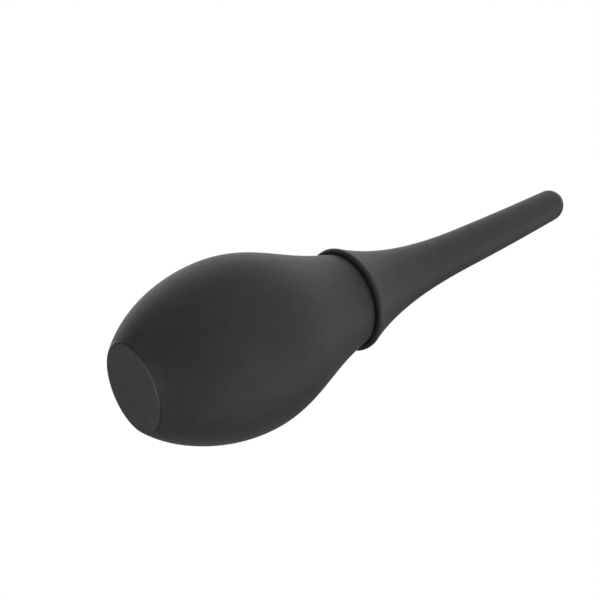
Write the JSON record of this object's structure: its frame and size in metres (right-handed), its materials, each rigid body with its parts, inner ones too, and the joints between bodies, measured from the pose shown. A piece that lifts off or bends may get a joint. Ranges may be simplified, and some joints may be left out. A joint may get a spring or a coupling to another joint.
{
  "type": "dust blower bulb",
  "caption": "Soft pear-shaped squeeze bulb on a flat base, with a removable trumpet-skirted soft nozzle that ends in a round tip.",
  "frame": {"origin": "centre of the bulb's flat base", "axes": "+Z along the bulb's axis, from the base to the nozzle's tip; X and Y are any pair across it"},
  "size_m": [0.06, 0.06, 0.2174],
  "materials": {
    "bulb_silicone": "matte",
    "nozzle_silicone": "matte",
    "bush_plastic": "satin",
    "spigot_plastic": "satin",
    "seal_rubber": "satin"
  },
  "bodies": {
    "bulb": {"bulb_shell": "bulb_silicone"},
    "neck": {"neck_bush": "bush_plastic"},
    "spigot": {"spigot": "spigot_plastic", "seal_ring": "seal_rubber"},
    "nozzle": {"nozzle": "nozzle_silicone"}
  },
  "joints": [
    {"name": "squeeze", "type": "slide", "parent": "bulb", "child": "neck", "axis": [0, 0, -1], "range_m": [0, 0.018], "stiffness_N_per_m": 1500, "deforming": ["bulb_shell"]},
    {"name": "nozzle_turn", "type": "hinge", "parent": "neck", "child": "spigot", "pos_m": [0, 0, 0.085], "axis": [0, 0, 1], "continuous": true},
    {"name": "nozzle_pull", "type": "slide", "parent": "spigot", "child": "nozzle", "axis": [0, 0, 1], "range_m": [0, 0.03]}
  ]
}
